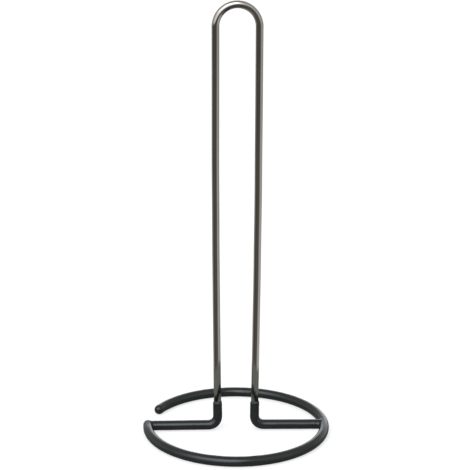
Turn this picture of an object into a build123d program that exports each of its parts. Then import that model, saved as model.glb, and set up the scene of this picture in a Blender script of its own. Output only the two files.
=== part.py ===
from build123d import *

import math
import os

# Free-standing paper towel holder made of two bent steel wires.
#
# One wire is the upright: a tall hairpin loop whose lower ends bend outwards into two feet.
# The other wire is the base: an open ring lying on the table.  The end of each foot is butt
# welded to the inner side of the ring.  The ring, the feet and the bottom of the legs are then
# dipped in vinyl, which closes over the wire's ends.
#
# Millimetres and degrees.  +Z is up and the origin is the ring's centre on the table top.  The
# feet run along X, and the ring's open gap is at the back left.  Ring angles count anticlockwise
# from +X, seen from above.

# Steel wire
wire_radius = 3.0
wire_end_round = 0.8

# Base ring, with the angles of its two coated tips
ring_radius = 72.0
ring_coat_radius = 4.0
ring_head_angle = 175.5
ring_tail_angle = 515.0
ring_tip_round = 3.8
ring_tip_wall = 1.5

# Upright loop: the legs are parallel at the top and toe in a little below toe_in_height, and
# the feet drop slightly from the corners out to the ring
overall_height = 350.0
loop_half_gap = 16.8
toe_in_height = 180.0
toe_in_radius = 13400.0
corner_half_gap = 14.9
corner_height = 4.3
bend_radius = 7.5

# Vinyl on the feet, which ends in a tapered collar on each leg
foot_coat_radius = 3.9
collar_height = 24.0
collar_taper_length = 1.6
collar_taper_angle = 19.0

# Butt welds, with the upset metal that laps back over the foot's end
weld_land = 0.8
weld_lap = 0.6
weld_reach = 2.8
weld_lip_radius = 3.25
weld_root_radius = 3.4
weld_toe_radius = 2.6

# Worked out from the values above
wire_height = ring_coat_radius
foot_end = ring_radius - wire_radius - weld_land
arc_centre_height = overall_height - wire_radius - loop_half_gap
leg_lean = (loop_half_gap - corner_half_gap) / (toe_in_height - corner_height)
foot_fall = (corner_height - wire_height) / (foot_end - corner_half_gap)
collar_base_height = collar_height - collar_taper_length
collar_half_gap = corner_half_gap + leg_lean * (collar_base_height - corner_height)
ring_side_height = corner_height - foot_fall * (ring_radius - corner_half_gap)
sides = (("left", -1), ("right", 1))

os.makedirs("parts", exist_ok=True)


def bend_ring_bar(radius, end_inset, end_round):
    """A round bar along the ring, its ends set back from the coated tips and rounded."""
    inset_angle = math.degrees(end_inset / ring_radius)
    start_angle = ring_head_angle + inset_angle
    arc_size = ring_tail_angle - ring_head_angle - 2 * inset_angle
    with BuildPart() as bar:
        with BuildLine(Plane.XY.offset(wire_height)) as centreline:
            CenterArc((0, 0), ring_radius, start_angle, arc_size)
        with BuildSketch(Plane(centreline.line @ 0, z_dir=centreline.line % 0)):
            Circle(radius)
        sweep(path=centreline.line)
        fillet(bar.faces().filter_by(GeomType.PLANE).edges(), radius=end_round)
    return bar.part


def weld_foot(side):
    """The upset metal between one foot's end and the inner side of the ring."""
    lap_x = side * (foot_end - weld_lap)
    root_x = side * foot_end
    toe_x = side * (foot_end + weld_reach)
    with BuildPart() as weld:
        with BuildSketch(Plane.XZ):
            with BuildLine():
                Polyline(
                    (lap_x, wire_height),
                    (lap_x, wire_height + weld_lip_radius),
                    (root_x, wire_height + weld_root_radius),
                    (toe_x, wire_height + weld_toe_radius),
                    (toe_x, wire_height),
                    close=True,
                )
            make_face()
        revolve(axis=Axis((0, 0, wire_height), (1, 0, 0)))
        add(upright_loop.part, mode=Mode.SUBTRACT)
        add(base_ring.part, mode=Mode.SUBTRACT)
    return weld.part


def coat_foot(side, weld):
    """The skin from the ring's side along one foot, round the bend and up to the collar."""
    with BuildPart() as coat:
        with BuildLine(Plane.XZ) as centreline:
            FilletPolyline(
                (side * ring_radius, ring_side_height),
                (side * corner_half_gap, corner_height),
                (side * collar_half_gap, collar_base_height),
                radius=bend_radius,
            )
        with BuildSketch(Plane(centreline.line @ 0, z_dir=centreline.line % 0)):
            Circle(foot_coat_radius)
        sweep(path=centreline.line)
        with BuildSketch(Plane(centreline.line @ 1, z_dir=centreline.line % 1)):
            Circle(foot_coat_radius)
        extrude(amount=collar_taper_length, taper=collar_taper_angle)
        add(upright_loop.part, mode=Mode.SUBTRACT)
        add(weld, mode=Mode.SUBTRACT)
        add(bend_ring_bar(ring_coat_radius, 0, ring_tip_round), mode=Mode.SUBTRACT)
    return coat.part


# Upright loop: feet, bends, legs and the half-round top, all one wire
with BuildPart() as upright_loop:
    with BuildLine(Plane.XZ) as loop_line:
        right_half = FilletPolyline(
            (foot_end, wire_height),
            (corner_half_gap, corner_height),
            (loop_half_gap, toe_in_height),
            (loop_half_gap, arc_centre_height),
            radius=[bend_radius, toe_in_radius],
        )
        CenterArc((0, arc_centre_height), loop_half_gap, 0, 180)
        mirror(right_half, about=Plane.YZ)
    with BuildSketch(Plane(right_half @ 0, z_dir=right_half % 0)):
        Circle(wire_radius)
    sweep(path=loop_line.wire())
upright_loop.part.label = "upright_loop"
export_step(upright_loop.part, "parts/upright_loop.step")

# Base ring: the bare wire inside the skin
with BuildPart() as base_ring:
    add(bend_ring_bar(wire_radius, ring_tip_wall, wire_end_round))
base_ring.part.label = "base_ring"
export_step(base_ring.part, "parts/base_ring.step")

# A weld and a coated foot on each side
welds = []
for side_name, side in sides:
    with BuildPart() as foot_weld:
        add(weld_foot(side))
    foot_weld.part.label = f"{side_name}_foot_weld"
    export_step(foot_weld.part, f"parts/{side_name}_foot_weld.step")
    welds.append(foot_weld.part)

    with BuildPart() as foot_coat:
        add(coat_foot(side, foot_weld.part))
    foot_coat.part.label = f"{side_name}_foot_coat"
    export_step(foot_coat.part, f"parts/{side_name}_foot_coat.step")

# Ring skin: follows the wire, closes over both its ends, and is open where the feet are welded on
with BuildPart() as ring_coat:
    add(bend_ring_bar(ring_coat_radius, 0, ring_tip_round))
    add(base_ring.part, mode=Mode.SUBTRACT)
    add(upright_loop.part, mode=Mode.SUBTRACT)
    for weld in welds:
        add(weld, mode=Mode.SUBTRACT)
ring_coat.part.label = "ring_coat"
export_step(ring_coat.part, "parts/ring_coat.step")
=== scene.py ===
import math

import bpy
import numpy as np
from mathutils import Matrix, Vector, noise


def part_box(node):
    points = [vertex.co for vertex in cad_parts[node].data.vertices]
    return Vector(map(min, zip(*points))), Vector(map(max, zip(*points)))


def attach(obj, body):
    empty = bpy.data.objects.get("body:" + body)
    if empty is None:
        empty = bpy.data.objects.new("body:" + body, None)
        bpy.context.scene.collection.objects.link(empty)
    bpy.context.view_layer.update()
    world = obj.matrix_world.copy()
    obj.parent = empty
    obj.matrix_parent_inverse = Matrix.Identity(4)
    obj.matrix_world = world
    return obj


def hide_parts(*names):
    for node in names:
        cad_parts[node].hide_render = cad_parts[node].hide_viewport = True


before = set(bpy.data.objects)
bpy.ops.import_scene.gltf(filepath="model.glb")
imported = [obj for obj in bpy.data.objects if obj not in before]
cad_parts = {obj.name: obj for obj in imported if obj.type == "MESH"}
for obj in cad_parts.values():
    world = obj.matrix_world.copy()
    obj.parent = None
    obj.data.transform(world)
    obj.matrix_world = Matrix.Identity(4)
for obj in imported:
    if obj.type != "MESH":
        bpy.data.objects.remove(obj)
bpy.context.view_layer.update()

# The paper towel holder's looks, around its CAD frame.  The plated wire and the dipped vinyl skin
# are rebuilt as fine meshes; the wire and welds inside the skin stay CAD.  Values are in metres
# and degrees, unless a comment says otherwise.

MM = 0.001
MICRON = 0.000001
SIDEWAYS = (0, 1, 0)
UPWARD = (0, 0, 1)

# ---------------------------------------------------------------- sizes read from the frame
ring_low, ring_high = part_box("base_ring")
coat_low, coat_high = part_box("ring_coat")
_, loop_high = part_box("upright_loop")
collar_low, collar_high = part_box("right_foot_coat")

wire_radius = (ring_high.z - ring_low.z) / 2
wire_height = (ring_high.z + ring_low.z) / 2
ring_radius = ring_high.x - wire_radius
ring_coat_radius = (coat_high.z - coat_low.z) / 2
foot_end = loop_high.x
foot_coat_radius = collar_high.y
corner_half_gap = collar_low.x + foot_coat_radius
collar_height = collar_high.z
loop_top = loop_high.z

loop_points = np.array([v.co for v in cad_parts["upright_loop"].data.vertices])
upper_half = loop_points[loop_points[:, 2] > loop_top / 2]
loop_half_gap = upper_half[:, 0].max() - wire_radius
arc_centre_height = loop_top - wire_radius - loop_half_gap

ring_points = np.array([v.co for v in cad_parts["ring_coat"].data.vertices])
ring_turns = np.degrees(np.arctan2(ring_points[:, 1], ring_points[:, 0])) % 360
gap_turns = np.sort(ring_turns[(ring_turns > 120) & (ring_turns < 200)])
gap_edge = int(np.argmax(np.diff(gap_turns)))
tail_tip_turn = gap_turns[gap_edge]
head_tip_turn = gap_turns[gap_edge + 1]

# ---------------------------------------------------------------- shape details
# Upright: it waves a little across and front to back, but only above the collars, where no
# skin has to follow it
corner_height = wire_height + 0.3 * MM
bend_radius = 7.5 * MM
toe_in_height = 180 * MM
toe_in_radius = 13.4
foot_fall = (corner_height - wire_height) / (foot_end - corner_half_gap)
leg_lean = (loop_half_gap - corner_half_gap) / (toe_in_height - corner_height)
wavy_from = 30 * MM
wavy_fully = 90 * MM
across_wave = 0.10 * MM
across_lump = 48 * MM
front_back_wave = 0.14 * MM
front_back_lump = 55 * MM

# Skin on the feet, with each collar's shoulder, edge and thin film.  The edge rises and falls
# round the leg, by noise with lumps of edge_lump that is read on a circle of radius edge_circle.
foot_skin_radius = foot_coat_radius + 0.05 * MM
collar_skin_radius = foot_coat_radius - 0.18 * MM
shoulder_length = 1.0 * MM
shoulder_fullness = 2.2
edge_height = collar_height + 0.3 * MM
edge_rise = 0.9 * MM
edge_circle = 6.0
edge_lump = 2.2
film_start = 0.35
film_radius = 3.1 * MM
film_end_radius = wire_radius + 0.035 * MM
film_length = 1.3 * MM

# Webs where the feet run into the ring's skin, each after a short straight run
web_length = 1.7 * MM
web_spread = 1.3 * MM
web_narrowing = 1.2
run_in_length = 0.6 * MM

# Unevenness of the skin, and the slight neck behind each tip of the ring.  The neck's depth is a
# share of the skin's radius.
ring_lump = 10 * MM
foot_lump = 9 * MM
broad_swell = 0.07 * MM
fine_lump = 3 * MM
fine_swell = 0.02 * MM
neck_distance = 10 * MM
neck_length = 5 * MM
neck_depth = 0.02

# Inside the skin
bore_radius = wire_radius + 0.02 * MM
tip_wall = 1.5 * MM

# Fineness of the meshes: points round each section, and the spacing and numbers of sections.
# The skins' linings have one section for every few of the outside.
wire_sides = 56
wire_spacing = 1.5 * MM
fewest_bend_steps = 10
top_arc_points = 56
ring_sides = 64
ring_spacing = 0.6 * MM
dome_sections = 11
first_dome_angle = 10
foot_sides = 56
foot_spacing = 0.45 * MM
web_sections = 9
run_in_sections = 4
lining_step = 4


# ---------------------------------------------------------------- paths and surface grids
def fillet_path(corners, radii, spacing):
    """Points along straight runs joined by tangent arcs, in a plane."""
    corners = [np.array(c, float) for c in corners]
    points = [corners[0]]
    for before, corner, after, radius in zip(corners, corners[1:], corners[2:], radii):
        inward = unit(before - corner)
        outward = unit(after - corner)
        turn = math.pi - math.acos(float(inward @ outward))
        centre = corner + unit(inward + outward) * radius / math.cos(turn / 2)
        first = corner + inward * radius * math.tan(turn / 2)
        last = corner + outward * radius * math.tan(turn / 2)
        points.extend(straight_run(points[-1], first, spacing))
        steps = max(fewest_bend_steps, round(radius * turn / spacing))
        for share in np.linspace(0, 1, steps + 1)[1:]:
            arm = (first - centre) * math.sin((1 - share) * turn)
            arm += (last - centre) * math.sin(share * turn)
            points.append(centre + arm / math.sin(turn))
    points.extend(straight_run(points[-1], corners[-1], spacing))
    return np.array(points)


def unit(vector):
    return vector / np.linalg.norm(vector)


def straight_run(start, end, spacing):
    """Evenly spaced points after start, up to end."""
    steps = max(1, round(float(np.linalg.norm(end - start)) / spacing))
    return [start + (end - start) * share for share in np.linspace(0, 1, steps + 1)[1:]]


def normals_along(points, side):
    """Unit normals of a planar path, in its plane. side is the plane's normal."""
    tangents = np.gradient(points, axis=0)
    tangents /= np.linalg.norm(tangents, axis=1)[:, None]
    return np.cross(np.array(side, float), tangents)


def lengths_along(points):
    """The length of the path up to each of its points."""
    steps = np.linalg.norm(np.diff(points, axis=0), axis=1)
    return np.concatenate([[0.0], np.cumsum(steps)])


def directions_round(normals, side, sides):
    """For each path point, unit directions all round it, from its normal towards side."""
    turns = np.linspace(0, 2 * math.pi, sides, endpoint=False)[None, :, None]
    return np.cos(turns) * normals[:, None, :] + np.sin(turns) * np.array(side, float)


def ripple(points, lump, amount, seed):
    """A smooth unevenness at each point, up to about amount either way, with lumps of a given size."""
    shift = Vector((7.3, 3.1, 5.7)) * seed
    values = [noise.noise(Vector(p) + shift) for p in points.reshape(-1, 3) / lump]
    return amount * np.array(values).reshape(points.shape[:-1])


def blisters(surface, spots):
    """How far small round blisters raise each point of a surface."""
    raised = np.zeros(surface.shape[:2])
    for centre, width, height in spots:
        apart = np.linalg.norm(surface - centre, axis=2)
        raised += height * np.exp(-((apart / width) ** 2))
    return raised


class Shell:
    """Collects the grids of a piece's surface and turns them into one smooth mesh object."""

    def __init__(self, name):
        self.name = name
        self.vertices = []
        self.film = []
        self.faces = []
        self.uvs = []

    def add_vertices(self, points, film):
        base = len(self.vertices)
        self.vertices.extend(map(tuple, points))
        self.film.extend(film)
        return base + np.arange(len(points))

    def add_face(self, corners, uvs, flip):
        step = -1 if flip else 1
        self.faces.append([int(c) for c in corners][::step])
        self.uvs.extend(uvs[::step])

    def add_grid(self, grid, radius, along, film=None, flip=False, closed=False):
        """Rings of points, each joined to the next and, where closed, the last to the first."""
        rings, sides = grid.shape[:2]
        values = np.zeros((rings, sides)) if film is None else film
        index = self.add_vertices(grid.reshape(-1, 3), values.reshape(-1)).reshape(rings, sides)
        around = np.linspace(0, 2 * math.pi * radius, sides + 1)
        for row in range(rings if closed else rings - 1):
            above = (row + 1) % rings
            for column in range(sides):
                beside = (column + 1) % sides
                corners = [
                    index[row, column],
                    index[row, beside],
                    index[above, beside],
                    index[above, column],
                ]
                left, right = around[column], around[column + 1]
                start, end = along[row], along[above]
                uvs = [(left, start), (right, start), (right, end), (left, end)]
                self.add_face(corners, uvs, flip)
        return index

    def add_cap(self, ring, tip, radius, along, flip=False):
        """A fan from a ring of vertices to one point."""
        tip_index = self.add_vertices([tip], [0.0])[0]
        around = np.linspace(0, 2 * math.pi * radius, len(ring) + 1)
        for column in range(len(ring)):
            corners = [ring[column], ring[(column + 1) % len(ring)], tip_index]
            uvs = [(around[column], along), (around[column + 1], along), (around[column], along)]
            self.add_face(corners, uvs, flip)

    def build(self):
        mesh = bpy.data.meshes.new(self.name)
        mesh.from_pydata(self.vertices, [], self.faces)
        layer = mesh.uv_layers.new(name="UVMap")
        layer.data.foreach_set("uv", np.array(self.uvs, np.float32).reshape(-1))
        film = mesh.attributes.new("film", "FLOAT", "POINT")
        film.data.foreach_set("value", np.array(self.film, np.float32))
        mesh.polygons.foreach_set("use_smooth", [True] * len(mesh.polygons))
        mesh.update()
        piece = bpy.data.objects.new(self.name, mesh)
        bpy.context.scene.collection.objects.link(piece)
        return piece


# ---------------------------------------------------------------- the plated wire
def build_wire():
    """One smooth wire from foot to foot, with the faint waviness of wire bent cold."""
    corners = [
        (foot_end, 0, wire_height),
        (corner_half_gap, 0, corner_height),
        (loop_half_gap, 0, toe_in_height),
        (loop_half_gap, 0, arc_centre_height),
    ]
    right = fillet_path(corners, (bend_radius, toe_in_radius), wire_spacing)
    turns = np.linspace(0, math.pi, top_arc_points)[1:-1]
    arc = np.stack([np.cos(turns), 0 * turns, np.sin(turns)], axis=1) * loop_half_gap
    arc[:, 2] += arc_centre_height
    left = right[::-1] * np.array([-1, 1, 1])
    line = np.concatenate([right, arc, left])

    wavy = np.clip((line[:, 2] - wavy_from) / (wavy_fully - wavy_from), 0, 1)
    line[:, 0] += ripple(line, across_lump, across_wave, 1) * wavy
    line[:, 1] += ripple(line, front_back_lump, front_back_wave, 2) * wavy

    normals = normals_along(line, SIDEWAYS)
    directions = directions_round(normals, SIDEWAYS, wire_sides)
    along = lengths_along(line)
    surface = line[:, None, :] + directions * wire_radius
    shell = Shell("plated_wire")
    index = shell.add_grid(surface, wire_radius, along)
    shell.add_cap(index[0], line[0], wire_radius, along[0], flip=True)
    shell.add_cap(index[-1], line[-1], wire_radius, along[-1])
    return shell.build()


# ---------------------------------------------------------------- the dipped skin
def ring_spot(turn):
    """A point on the ring's centreline, at an angle in degrees."""
    angle = math.radians(turn)
    return np.array([ring_radius * math.cos(angle), ring_radius * math.sin(angle), wire_height])


ring_length = math.radians(tail_tip_turn + 360 - head_tip_turn) * ring_radius
dome_turn = math.degrees(ring_coat_radius / ring_radius)
head_dome = ring_spot(head_tip_turn + dome_turn)
tail_dome = ring_spot(tail_tip_turn - dome_turn)


def above_ring_skin(points):
    """How far points are outside the ring's skin; negative inside it."""
    turns = np.degrees(np.arctan2(points[..., 1], points[..., 0])) % 360
    in_gap = (turns > tail_tip_turn - dome_turn) & (turns < head_tip_turn + dome_turn)
    from_axis = np.hypot(points[..., 0], points[..., 1]) - ring_radius
    beside = np.hypot(from_axis, points[..., 2] - wire_height)
    to_head = np.linalg.norm(points - head_dome, axis=-1)
    to_tail = np.linalg.norm(points - tail_dome, axis=-1)
    return np.where(in_gap, np.minimum(to_head, to_tail), beside) - ring_coat_radius


def onto_ring_skin(points):
    """The nearest points on the ring's skin."""
    nudge = 0.01 * MM
    rounds = 4
    for _ in range(rounds):
        height = above_ring_skin(points)
        slope = np.stack(
            [above_ring_skin(points + nudge * axis) - height for axis in np.eye(3)], axis=-1
        )
        slope /= np.linalg.norm(slope, axis=-1)[..., None]
        points = points - slope * height[..., None]
    return points


def where_line_meets_ring(starts, heading):
    """Where straight lines from starts, all along heading, first meet the ring's skin."""
    search_length = 12 * MM
    halvings = 40
    near = np.zeros(len(starts))
    far = np.full(len(starts), search_length)
    for _ in range(halvings):
        middle = (near + far) / 2
        outside = above_ring_skin(starts + heading * middle[:, None]) > 0
        near = np.where(outside, middle, near)
        far = np.where(outside, far, middle)
    return starts + heading * near[:, None]


# Blisters in the skin: ring angle, tilt above the outer side, width and height in millimetres
RING_BLISTERS = (
    (244.5, 52, 0.55, 0.20),
    (334.5, 62, 0.50, 0.18),
    (208.0, 80, 0.40, 0.10),
    (28.0, 118, 0.45, 0.12),
    (101.0, 35, 0.40, 0.12),
    (292.0, 20, 0.35, 0.08),
    (151.5, 95, 0.50, 0.16),
    (148.0, 70, 0.45, 0.12),
    (190.0, 100, 0.45, 0.12),
)


def ring_blister_spots():
    """Each blister's centre on the ring's skin, with its width and height."""
    spots = []
    for turn, tilt, width, height in RING_BLISTERS:
        radial = unit(ring_spot(turn) * np.array([1, 1, 0]))
        lift = math.radians(tilt)
        arm = radial * math.cos(lift) + np.array(UPWARD) * math.sin(lift)
        spots.append((ring_spot(turn) + ring_coat_radius * arm, width * MM, height * MM))
    return spots


def skin_swell(surface, broad_lump, seed):
    """The dip's unevenness at each point: broad swells with a finer ripple on them."""
    broad = ripple(surface, broad_lump, broad_swell, seed)
    return broad + ripple(surface, fine_lump, fine_swell, seed + 1)


def build_ring_skin():
    """The skin on the ring: domed over both ends of the wire, hollow where the wire is."""
    dome = np.radians(np.linspace(first_dome_angle, 90, dome_sections))
    tip_steps = ring_coat_radius * (1 - np.cos(dome))
    dome_length = tip_steps[-1]
    body_end = ring_length - dome_length - ring_spacing / 2
    body = np.arange(dome_length + ring_spacing, body_end, ring_spacing)
    along = np.concatenate([tip_steps, body, ring_length - tip_steps[::-1]])
    from_tip = np.minimum(along, ring_length - along)
    inside_dome = np.clip(1 - from_tip / ring_coat_radius, 0, 1)
    radius = ring_coat_radius * np.sqrt(1 - inside_dome**2)
    radius *= 1 - neck_depth * np.exp(-(((from_tip - neck_distance) / neck_length) ** 2))

    turns = np.radians(head_tip_turn) + along / ring_radius
    outward = np.stack([np.cos(turns), np.sin(turns), 0 * turns], axis=1)
    line = outward * ring_radius
    line[:, 2] = wire_height
    directions = directions_round(-outward, UPWARD, ring_sides)
    surface = line[:, None, :] + directions * radius[:, None, None]

    # The swells only lower the skin, so that none of it goes below the table
    full = (radius / ring_coat_radius)[:, None]
    swell = np.minimum(skin_swell(surface, ring_lump, 3), 0.0) * full
    raised = blisters(surface, ring_blister_spots())
    surface += directions * (swell + raised)[:, :, None]

    shell = Shell("ring_skin")
    index = shell.add_grid(surface, ring_coat_radius, along)
    head_tip = line[0] - (line[1] - line[0]) * tip_steps[0] / (along[1] - along[0])
    tail_tip = line[-1] + (line[-1] - line[-2]) * tip_steps[0] / (along[1] - along[0])
    shell.add_cap(index[0], head_tip, ring_coat_radius, 0.0, flip=True)
    shell.add_cap(index[-1], tail_tip, ring_coat_radius, ring_length)

    hollow = slice(*np.searchsorted(along, (tip_wall, ring_length - tip_wall)), lining_step)
    lining = line[hollow, None, :] + directions[hollow, ::2] * bore_radius
    index = shell.add_grid(lining, bore_radius, along[hollow], flip=True)
    shell.add_cap(index[0], line[hollow][0], bore_radius, along[hollow][0])
    shell.add_cap(index[-1], line[hollow][-1], bore_radius, along[hollow][-1], flip=True)
    return shell.build()


def foot_skin_profile(line, directions):
    """The skin's radius and film share at each point round each place along a foot and leg."""
    height = line[:, 2][:, None]
    upright = np.clip((height - corner_height) / bend_radius, 0, 1)
    upright = upright * upright * (3 - 2 * upright)
    base = foot_skin_radius + (collar_skin_radius - foot_skin_radius) * upright
    edge = edge_height + ripple(directions * edge_circle, edge_lump, edge_rise, 5)
    past = (height - (edge - shoulder_length)) / shoulder_length
    rounded = np.sqrt(np.clip(1 - np.clip(past, 0, 1) ** shoulder_fullness, 0, 1))
    radius = film_radius + (base - film_radius) * rounded
    fade = np.clip((height - edge) / film_length, 0, 1)
    radius = radius - (film_radius - film_end_radius) * fade
    film = np.clip((past - film_start) / (1 - film_start), 0, 1)
    return radius, film


def foot_skin_line(side):
    """The middle of one foot's skin, from just inside the ring to the top of the film."""
    first_x = ring_radius - ring_coat_radius - web_length - run_in_length
    first_height = corner_height - foot_fall * (first_x - corner_half_gap)
    top = collar_height + film_length
    top_x = corner_half_gap + leg_lean * (top - corner_height)
    corners = [
        (side * first_x, 0, first_height),
        (side * corner_half_gap, 0, corner_height),
        (side * top_x, 0, top),
    ]
    return fillet_path(corners, (bend_radius,), foot_spacing)


def flare_onto_ring(first_row, spokes, heading):
    """Where a foot meets the ring, and the rows from there: a curved web, then a straight run."""
    joint = where_line_meets_ring(first_row, heading)
    before = joint - heading * web_length
    spread = web_spread * np.abs(spokes[:, 1:2]) ** web_narrowing
    onto_ring = onto_ring_skin(joint + spokes * spread)
    shares = np.linspace(0, 1, web_sections)[:, None, None]
    web = onto_ring * (1 - shares) ** 2 + joint * 2 * shares * (1 - shares) + before * shares**2
    reach = np.linspace(0, 1, run_in_sections + 2)[1:-1, None, None]
    run_in = before * (1 - reach) + first_row * reach
    return joint, np.concatenate([web, run_in])


def build_foot_skin(name, side, seed):
    """The skin on one foot: webbed onto the ring's skin, round the bend, up to a thin edge."""
    line = foot_skin_line(side)
    normals = normals_along(line, SIDEWAYS)
    directions = directions_round(normals, SIDEWAYS, foot_sides)
    radius, film = foot_skin_profile(line, directions)
    surface = line[:, None, :] + directions * radius[:, :, None]
    surface += directions * (skin_swell(surface, foot_lump, seed) * (1 - film))[:, :, None]

    # One blister, on the upper front close to the weld
    blister = line[4] + foot_skin_radius * unit(np.array([0, -0.45, 0.9]))
    surface += directions * blisters(surface, [(blister, 0.45 * MM, 0.15 * MM)])[:, :, None]

    heading = unit(np.array([side, 0, -foot_fall]))
    joint, flare = flare_onto_ring(surface[0], directions[0], heading)
    bore = line[:, None, :] + directions * bore_radius
    bore_joint = where_line_meets_ring(bore[0], heading)

    # The last row stops short of the joint, which the first row touches above and below the foot
    end_row = joint * 0.85 + bore_joint * 0.15
    lining = bore[::-lining_step]
    grid = np.concatenate([flare, surface, lining, bore_joint[None], end_row[None]])
    film_grid = np.zeros(grid.shape[:2])
    film_grid[len(flare) : len(flare) + len(surface)] = film
    shell = Shell(name)
    shell.add_grid(grid, foot_skin_radius, lengths_along(grid[:, 0]), film_grid, closed=True)
    return shell.build()


# ---------------------------------------------------------------- node helpers
class Graph:
    """A short way to write shader nodes."""

    def __init__(self, tree):
        self.tree = tree
        tree.nodes.clear()

    def node(self, kind, inputs=None, **settings):
        made = self.tree.nodes.new(kind)
        for key, value in settings.items():
            setattr(made, key, value)
        for key, value in (inputs or {}).items():
            self.put(made.inputs[key], value)
        return made

    def put(self, socket, value):
        if isinstance(value, bpy.types.NodeSocket):
            self.tree.links.new(value, socket)
        else:
            socket.default_value = value

    def math(self, operation, first, second=0.0, third=0.0):
        made = self.node("ShaderNodeMath", operation=operation)
        for socket, value in zip(made.inputs, (first, second, third)):
            self.put(socket, value)
        return made.outputs[0]

    def remap(self, value, low, high, to_low=0.0, to_high=1.0):
        """Smoothly from to_low, where value is low, to to_high, where it is high."""
        made = self.node("ShaderNodeMapRange", interpolation_type="SMOOTHSTEP")
        for key, given in zip((0, 1, 2, 3, 4), (value, low, high, to_low, to_high)):
            self.put(made.inputs[key], given)
        return made.outputs[0]

    def mix(self, share, first, second):
        made = self.node("ShaderNodeMix", data_type="RGBA")
        self.put(made.inputs[0], share)
        self.put(made.inputs[6], first)
        self.put(made.inputs[7], second)
        return made.outputs[2]

    def noise(self, vector, scale, detail=2.0, roughness=0.5):
        made = self.node("ShaderNodeTexNoise", {"Vector": vector, "Scale": scale})
        made.inputs["Detail"].default_value = detail
        made.inputs["Roughness"].default_value = roughness
        return made.outputs[0]

    def stretch(self, vector, scale):
        return self.node("ShaderNodeMapping", {"Vector": vector, "Scale": scale}).outputs[0]

    def bump(self, height, distance, normal=None):
        made = self.node("ShaderNodeBump", {"Height": height, "Distance": distance, "Strength": 1.0})
        if normal is not None:
            self.put(made.inputs["Normal"], normal)
        return made.outputs[0]

    def brighten(self, color, factor):
        made = self.node("ShaderNodeVectorMath", operation="SCALE")
        self.put(made.inputs[0], color)
        self.put(made.inputs["Scale"], factor)
        return made.outputs[0]

    def ramp(self, value, stops):
        made = self.node("ShaderNodeValToRGB", {"Fac": value})
        made.color_ramp.interpolation = "EASE"
        elements = made.color_ramp.elements
        while len(elements) < len(stops):
            elements.new(0.5)
        for element, (place, color) in zip(list(elements), stops):
            element.position = place
            element.color = (*color, 1)
        return made.outputs[0]


def new_material(name):
    material = bpy.data.materials.new(name)
    material.use_nodes = True
    return material, Graph(material.node_tree)


def finish_material(graph, inputs):
    shader = graph.node("ShaderNodeBsdfPrincipled", inputs)
    graph.node("ShaderNodeOutputMaterial", {"Surface": shader.outputs[0]})


# ---------------------------------------------------------------- materials
def black_nickel():
    """Dark bright plate over drawn wire: fine draw lines, soft haze and a few rubbed streaks."""
    material, graph = new_material("black_nickel")
    coordinates = graph.node("ShaderNodeTexCoord")
    along = coordinates.outputs["UV"]
    space = coordinates.outputs["Object"]
    draw_lines = graph.noise(graph.stretch(along, (2600, 9, 1)), 1.0, 4.0, 0.6)
    fine_lines = graph.noise(graph.stretch(along, (9000, 40, 1)), 1.0, 2.0, 0.5)
    haze = graph.noise(space, 38.0, 4.0, 0.6)
    streaks = graph.noise(graph.stretch(along, (700, 22, 1)), 1.0, 3.0, 0.65)
    rubbed = graph.remap(streaks, 0.60, 0.74)
    specks = graph.noise(space, 2400.0, 1.0, 0.5)

    color = graph.mix(haze, (0.385, 0.362, 0.333, 1), (0.460, 0.436, 0.405, 1))
    color = graph.mix(graph.math("MULTIPLY", rubbed, 0.35), color, (0.55, 0.525, 0.495, 1))
    rough = graph.remap(haze, 0.3, 0.75, 0.045, 0.09)
    rough = graph.math("ADD", rough, graph.math("MULTIPLY", rubbed, 0.07))
    rough = graph.math("ADD", rough, graph.math("MULTIPLY", fine_lines, 0.03))
    normal = graph.bump(draw_lines, 4.5 * MICRON)
    normal = graph.bump(specks, 1.2 * MICRON, normal)
    finish_material(
        graph,
        {"Base Color": color, "Metallic": 1.0, "Roughness": rough, "Normal": normal},
    )
    return material


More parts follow.
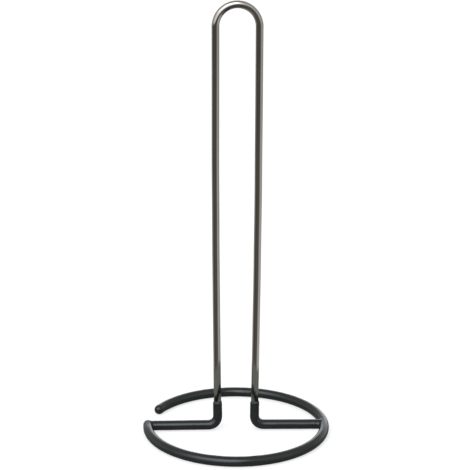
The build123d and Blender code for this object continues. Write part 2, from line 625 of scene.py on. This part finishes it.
def black_vinyl():
    """Charcoal dipped vinyl: semi-gloss, with orange peel, pits, a dusty top and a thin film."""
    material, graph = new_material("black_vinyl")
    coordinates = graph.node("ShaderNodeTexCoord")
    space = coordinates.outputs["Object"]
    film = graph.node("ShaderNodeAttribute", attribute_name="film").outputs["Fac"]
    cloud = graph.noise(space, 60.0, 3.0, 0.55)
    grain = graph.noise(space, 1900.0, 3.0, 0.6)
    peel = graph.noise(space, 420.0, 2.0, 0.5)
    pits = graph.node(
        "ShaderNodeTexVoronoi", {"Vector": space, "Scale": 330.0, "Randomness": 1.0}
    ).outputs["Distance"]
    pit_depth = graph.remap(pits, 0.02, 0.10)
    height = graph.node("ShaderNodeSeparateXYZ", {"Vector": space}).outputs["Z"]
    rubbed = graph.remap(height, 0.75 * MM, 0.1 * MM)
    dust = graph.remap(graph.noise(space, 900.0, 3.0, 0.7), 0.60, 0.76)
    normal = coordinates.outputs["Normal"]
    facing = graph.node("ShaderNodeSeparateXYZ", {"Vector": normal}).outputs["Z"]
    dust = graph.math("MULTIPLY", dust, graph.remap(facing, 0.2, 0.9))

    color = graph.mix(cloud, (0.0074, 0.0092, 0.0090, 1), (0.0112, 0.0135, 0.0132, 1))
    color = graph.mix(graph.math("MULTIPLY", dust, 0.12), color, (0.12, 0.12, 0.115, 1))
    color = graph.mix(graph.math("MULTIPLY", rubbed, 0.5), color, (0.06, 0.06, 0.06, 1))
    color = graph.mix(graph.math("MULTIPLY", film, 0.8), color, (0.020, 0.019, 0.018, 1))
    rough = graph.remap(cloud, 0.3, 0.7, 0.11, 0.17)
    rough = graph.math("ADD", rough, graph.math("MULTIPLY", rubbed, 0.2))
    rough = graph.math("ADD", rough, graph.math("MULTIPLY", film, 0.30))
    rough = graph.math("ADD", rough, graph.math("MULTIPLY", dust, 0.15))
    normal = graph.bump(peel, 42 * MICRON)
    normal = graph.bump(grain, 4.5 * MICRON, normal)
    normal = graph.bump(pit_depth, 12 * MICRON, normal)
    finish_material(graph, {"Base Color": color, "Roughness": rough, "Normal": normal, "IOR": 1.47})
    return material


def bare_steel(name, light, dark, roughness):
    """Plain wire or weld metal, as it is inside the skin."""
    material, graph = new_material(name)
    space = graph.node("ShaderNodeTexCoord").outputs["Object"]
    cloud = graph.noise(space, 220.0, 4.0, 0.6)
    mill_scale = graph.noise(space, 1600.0, 3.0, 0.6)
    color = graph.mix(cloud, dark, light)
    rough = graph.remap(mill_scale, 0.3, 0.7, roughness, roughness + 0.18)
    normal = graph.bump(mill_scale, 10 * MICRON)
    finish_material(
        graph,
        {"Base Color": color, "Metallic": 1.0, "Roughness": rough, "Normal": normal},
    )
    return material


def pale_floor():
    """A pale matt light table: barely mottled, and glowing enough to keep its shadows faint."""
    material, graph = new_material("pale_floor")
    space = graph.node("ShaderNodeTexCoord").outputs["Object"]
    cloud = graph.noise(space, 3.0, 3.0, 0.5)
    color = graph.mix(cloud, (0.36, 0.36, 0.36, 1), (0.39, 0.39, 0.39, 1))
    normal = graph.bump(graph.noise(space, 700.0, 2.0, 0.5), 20 * MICRON)
    finish_material(
        graph,
        {
            "Base Color": color,
            "Roughness": 0.9,
            "Specular IOR Level": 0.1,
            "Emission Color": (1, 1, 1, 1),
            "Emission Strength": 0.63,
            "Normal": normal,
        },
    )
    return material


# ---------------------------------------------------------------- studio
def compass(degrees):
    """A place on a ramp that runs once round the horizon, from behind to behind by the front."""
    return (degrees + 180) / 360


# Brightness of the surroundings against direction round the horizon, in four bands from low to
# high.  0 is towards the camera, 90 is to the right and 180 is behind the holder.
FLOOR_BAND = (
    (-180, 0.50), (-130, 0.55), (-100, 0.48), (-60, 0.34),
    (-10, 0.08), (30, 0.04), (90, 0.10), (180, 0.50),
)
LOW_BAND = (
    (-180, 0.80), (-150, 0.50), (-128, 0.48), (-102, 0.46), (-84, 0.24), (-66, 0.110),
    (-46, 0.105), (-24, 0.155), (2, 0.125), (14, 0.115), (26, 0.20), (45, 0.60),
    (62, 0.78), (100, 0.74), (140, 0.56), (180, 0.80),
)
MIDDLE_BAND = (
    (-180, 1.80), (-150, 0.45), (-90, 0.75), (-62, 0.95), (-40, 1.40), (-14, 1.70), (-4, 1.30),
    (3, 0.40), (12, 0.17), (20, 0.24), (36, 0.64), (60, 0.80), (95, 0.45), (145, 1.00),
    (165, 1.95), (180, 1.80),
)
HIGH_BAND = (
    (-180, 0.50), (-128, 0.50), (-96, 0.60), (-78, 1.00), (-62, 2.20), (-40, 3.20), (-20, 4.00),
    (-4, 4.00), (8, 2.60), (16, 1.20), (24, 0.95), (60, 0.80), (100, 0.50), (180, 0.50),
)
OVERHEAD_COLOR = (0.50, 0.50, 0.50, 1)
BACKDROP_COLOR = (0.93, 0.93, 0.93, 1)

# Elevations over which one band turns into the next
FLOOR_TO_LOW = (-44, -32)
LOW_TO_MIDDLE = (-6, 3)
MIDDLE_TO_HIGH = (15, 31)
HIGH_TO_OVERHEAD = (57, 71)

# The low band gets darker upwards: two elevations, and the factor at each
LOW_FALL_OFF = (-19, -7, 1.04, 0.84)

# Dark places are a little warm, and the brightest are a little cool
DARK_LEVEL = 0.2
DARK_TINT = (1.08, 0.99, 0.90)
PLAIN_TINT = (1.0, 1.0, 1.0)
BRIGHT_LEVEL = 1.5
BRIGHT_TINT = (0.96, 1.00, 1.05)


def tint_of(level):
    if level < DARK_LEVEL:
        return DARK_TINT
    if level > BRIGHT_LEVEL:
        return BRIGHT_TINT
    return PLAIN_TINT


def paint_band(graph, round_place, levels):
    """One band's colours round the horizon."""
    stops = []
    for degrees, level in levels:
        color = [level * part for part in tint_of(level)]
        stops.append((compass(degrees), color))
    return graph.ramp(round_place, stops)


def build_world():
    """A softbox high on the front left, pale sides, a bright strip behind and a dark room in front."""
    world = bpy.data.worlds.new("studio")
    bpy.context.scene.world = world
    world.use_nodes = True
    graph = Graph(world.node_tree)
    heading = graph.node("ShaderNodeTexCoord").outputs["Generated"]
    parts = graph.node("ShaderNodeSeparateXYZ", {"Vector": heading}).outputs
    azimuth = graph.math("ARCTAN2", parts["X"], graph.math("MULTIPLY", parts["Y"], -1.0))
    round_place = graph.math("MULTIPLY_ADD", azimuth, 0.5 / math.pi, 0.5)
    elevation = graph.math("ARCSINE", parts["Z"])
    elevation = graph.math("MULTIPLY", elevation, 180 / math.pi)

    low_band = paint_band(graph, round_place, LOW_BAND)
    low_band = graph.brighten(low_band, graph.remap(elevation, *LOW_FALL_OFF))
    middle_band = paint_band(graph, round_place, MIDDLE_BAND)
    high_band = paint_band(graph, round_place, HIGH_BAND)
    shown = paint_band(graph, round_place, FLOOR_BAND)
    shown = graph.mix(graph.remap(elevation, *FLOOR_TO_LOW), shown, low_band)
    shown = graph.mix(graph.remap(elevation, *LOW_TO_MIDDLE), shown, middle_band)
    shown = graph.mix(graph.remap(elevation, *MIDDLE_TO_HIGH), shown, high_band)
    shown = graph.mix(graph.remap(elevation, *HIGH_TO_OVERHEAD), shown, OVERHEAD_COLOR)

    seen = graph.node("ShaderNodeLightPath").outputs["Is Camera Ray"]
    shown = graph.mix(seen, shown, BACKDROP_COLOR)
    background = graph.node("ShaderNodeBackground", {"Color": shown, "Strength": 1.0})
    graph.node("ShaderNodeOutputWorld", {"Surface": background.outputs[0]})


# Lamps: name, place, width and watts.  They all point at LAMP_AIM.
LAMPS = (
    ("overhead_lamp", (0.0, 0.1, 2.6), 2.6, 14),
    ("front_lamp", (-0.9, -1.9, 1.9), 1.8, 6),
)
LAMP_AIM = (0, 0, 0.1)


def build_light(name, place, size, power):
    """A large soft lamp that lights matt surfaces; the surroundings make the reflections."""
    lamp = bpy.data.lights.new(name, "AREA")
    lamp.size = size
    lamp.energy = power
    holder = bpy.data.objects.new(name, lamp)
    holder.location = place
    aim = Vector(LAMP_AIM) - Vector(place)
    holder.rotation_euler = aim.to_track_quat("-Z", "Y").to_euler()
    holder.visible_glossy = False
    bpy.context.scene.collection.objects.link(holder)


def build_floor():
    """A wide thin slab with its top at the table's height.  Reflections see the painted floor band."""
    half = 9.0
    thickness = 0.02
    corners = [(-half, -half, 0), (half, -half, 0), (half, half, 0), (-half, half, 0)]
    lower = [(x, y, -thickness) for x, y, _ in corners]
    faces = [(0, 1, 2, 3), (7, 6, 5, 4)]
    faces += [(i, i + 4, (i + 1) % 4 + 4, (i + 1) % 4) for i in range(4)]
    mesh = bpy.data.meshes.new("floor")
    mesh.from_pydata(corners + lower, [], faces)
    floor = bpy.data.objects.new("floor", mesh)
    bpy.context.scene.collection.objects.link(floor)
    floor.data.materials.append(pale_floor())
    floor.visible_glossy = False


def build_turntable():
    """A small grey disc under the holder that only reflections see."""
    radius = 0.15
    height = 0.5 * MM
    sides = 64
    mesh = bpy.data.meshes.new("turntable")
    turns = np.linspace(0, 2 * math.pi, sides, endpoint=False)
    rim = [(radius * math.cos(turn), radius * math.sin(turn), height) for turn in turns]
    mesh.from_pydata(rim, [], [tuple(range(sides))])
    disc = bpy.data.objects.new("turntable", mesh)
    bpy.context.scene.collection.objects.link(disc)
    material, graph = new_material("grey_cloth")
    space = graph.node("ShaderNodeTexCoord").outputs["Object"]
    cloud = graph.noise(space, 60.0)
    color = graph.mix(cloud, (0.195, 0.205, 0.190, 1), (0.225, 0.236, 0.220, 1))
    finish_material(graph, {"Base Color": color, "Roughness": 1.0, "Specular IOR Level": 0.0})
    disc.data.materials.append(material)
    disc.visible_camera = False
    disc.visible_diffuse = False
    disc.visible_shadow = False


def build_camera():
    """A long lens in front, a little to the left, looking down at the holder's middle."""
    distance = 17.0 * ring_radius
    azimuth = math.radians(1.951)
    elevation = math.radians(23.123)
    pitch = math.radians(15.824)
    yaw = azimuth - math.radians(0.071)
    roll = math.radians(0.208)
    lens_millimetres = 113.46
    sensor_millimetres = 36
    flat = math.cos(elevation)
    back = Vector((-math.sin(azimuth) * flat, -math.cos(azimuth) * flat, math.sin(elevation)))
    place = Vector((0, 0, wire_height)) + back * distance
    forward = Vector(
        (math.sin(yaw) * math.cos(pitch), math.cos(yaw) * math.cos(pitch), -math.sin(pitch))
    )
    right = Vector((math.cos(yaw), -math.sin(yaw), 0))
    up = right.cross(forward)
    rolled_right = right * math.cos(roll) + up * math.sin(roll)
    rolled_up = up * math.cos(roll) - right * math.sin(roll)
    camera = bpy.data.cameras.new("camera")
    camera.lens = lens_millimetres
    camera.sensor_width = sensor_millimetres
    camera.clip_start = 0.05
    camera.clip_end = 100
    holder = bpy.data.objects.new("camera", camera)
    turn = Matrix((rolled_right, rolled_up, -forward)).transposed()
    holder.matrix_world = Matrix.Translation(place) @ turn.to_4x4()
    bpy.context.scene.collection.objects.link(holder)
    bpy.context.scene.camera = holder


# ---------------------------------------------------------------- put it together
def place_piece(piece, material, slot, *nodes):
    piece.data.materials.append(material)
    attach(piece, "root")
    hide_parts(*nodes)


vinyl = black_vinyl()
place_piece(build_wire(), black_nickel(), "black_nickel", "upright_loop")
place_piece(build_ring_skin(), vinyl, "black_vinyl", "ring_coat")
place_piece(build_foot_skin("left_foot_skin", -1, 11), vinyl, "black_vinyl", "left_foot_coat")
place_piece(build_foot_skin("right_foot_skin", 1, 21), vinyl, "black_vinyl", "right_foot_coat")

drawn_wire = bare_steel("drawn_wire", (0.46, 0.46, 0.47, 1), (0.36, 0.36, 0.37, 1), 0.28)
weld_metal = bare_steel("weld_metal", (0.34, 0.32, 0.32, 1), (0.22, 0.21, 0.22, 1), 0.45)
for node_name, material in (
    ("base_ring", drawn_wire),
    ("left_foot_weld", weld_metal),
    ("right_foot_weld", weld_metal),
):
    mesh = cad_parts[node_name].data
    mesh.materials.clear()
    mesh.materials.append(material)

build_floor()
build_turntable()
build_world()
for lamp_name, lamp_place, lamp_size, lamp_power in LAMPS:
    build_light(lamp_name, lamp_place, lamp_size, lamp_power)
build_camera()
bpy.context.scene.view_settings.view_transform = "Standard"
